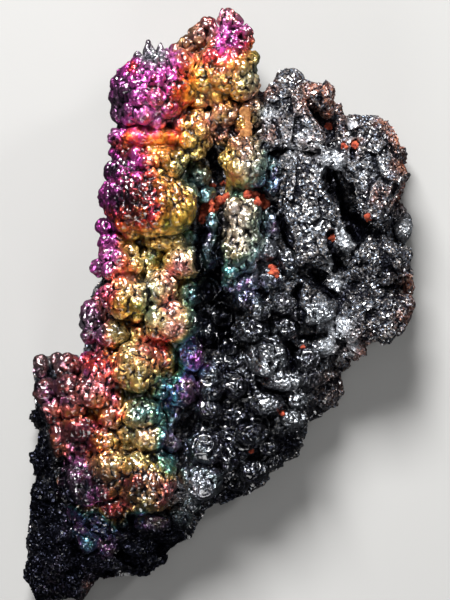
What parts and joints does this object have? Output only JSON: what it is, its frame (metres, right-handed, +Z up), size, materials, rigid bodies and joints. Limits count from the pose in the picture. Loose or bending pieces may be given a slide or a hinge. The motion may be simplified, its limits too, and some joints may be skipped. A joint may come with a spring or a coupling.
{
  "type": "goethite specimen",
  "caption": "Iridescent goethite specimen: a broken iron-ore plate of fused knobbly stalactites with a rainbow tarnish down one side, lying on its back.",
  "frame": {"origin": "on the surface the specimen rests on, under the middle of its bounding box", "axes": "+Z up out of the stalactites' face, +Y along the longest extent, from the narrow foot towards the spired crown, +X towards the broken rocky side"},
  "size_m": [0.121, 0.1808, 0.0423],
  "materials": {
    "goethite": "half metallic black iron oxide, with a rainbow film on the left columns"
  },
  "bodies": {
    "root": {"goethite_specimen": "goethite"}
  },
  "joints": []
}
